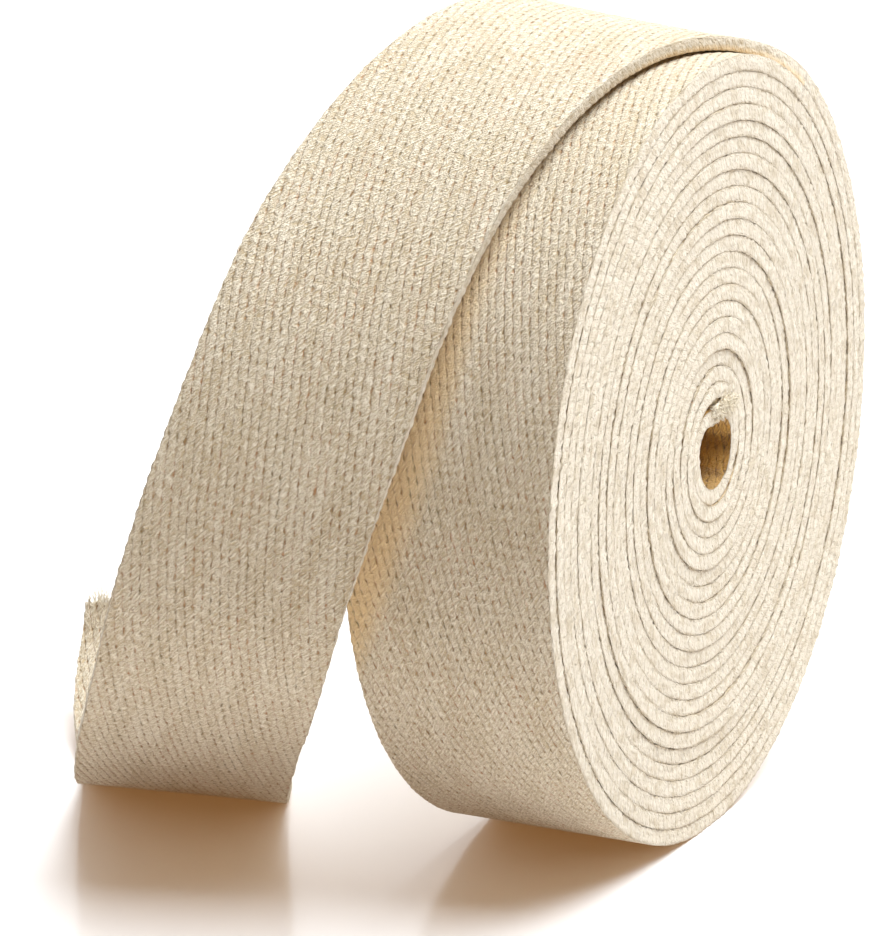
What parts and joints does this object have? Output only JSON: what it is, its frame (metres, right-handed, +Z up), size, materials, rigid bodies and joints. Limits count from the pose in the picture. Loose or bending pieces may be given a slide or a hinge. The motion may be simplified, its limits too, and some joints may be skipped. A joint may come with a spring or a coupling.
{
  "type": "roll of woven webbing",
  "caption": "Flat roll of thick cream webbing standing on its rim, its outer end falling loose beside it and curling up on the surface",
  "frame": {"origin": "Middle of the small flat spot that the roll stands on", "axes": "+Z up; the roll's axis runs along Y; the loose end falls on the -X side and drifts towards +Y"},
  "size_m": [0.1605, 0.1328, 0.1458],
  "materials": {
    "webbing": "matt, warp-faced twill weave"
  },
  "bodies": {
    "root": {"wound_roll": "webbing", "loose_end": "webbing"}
  },
  "joints": []
}
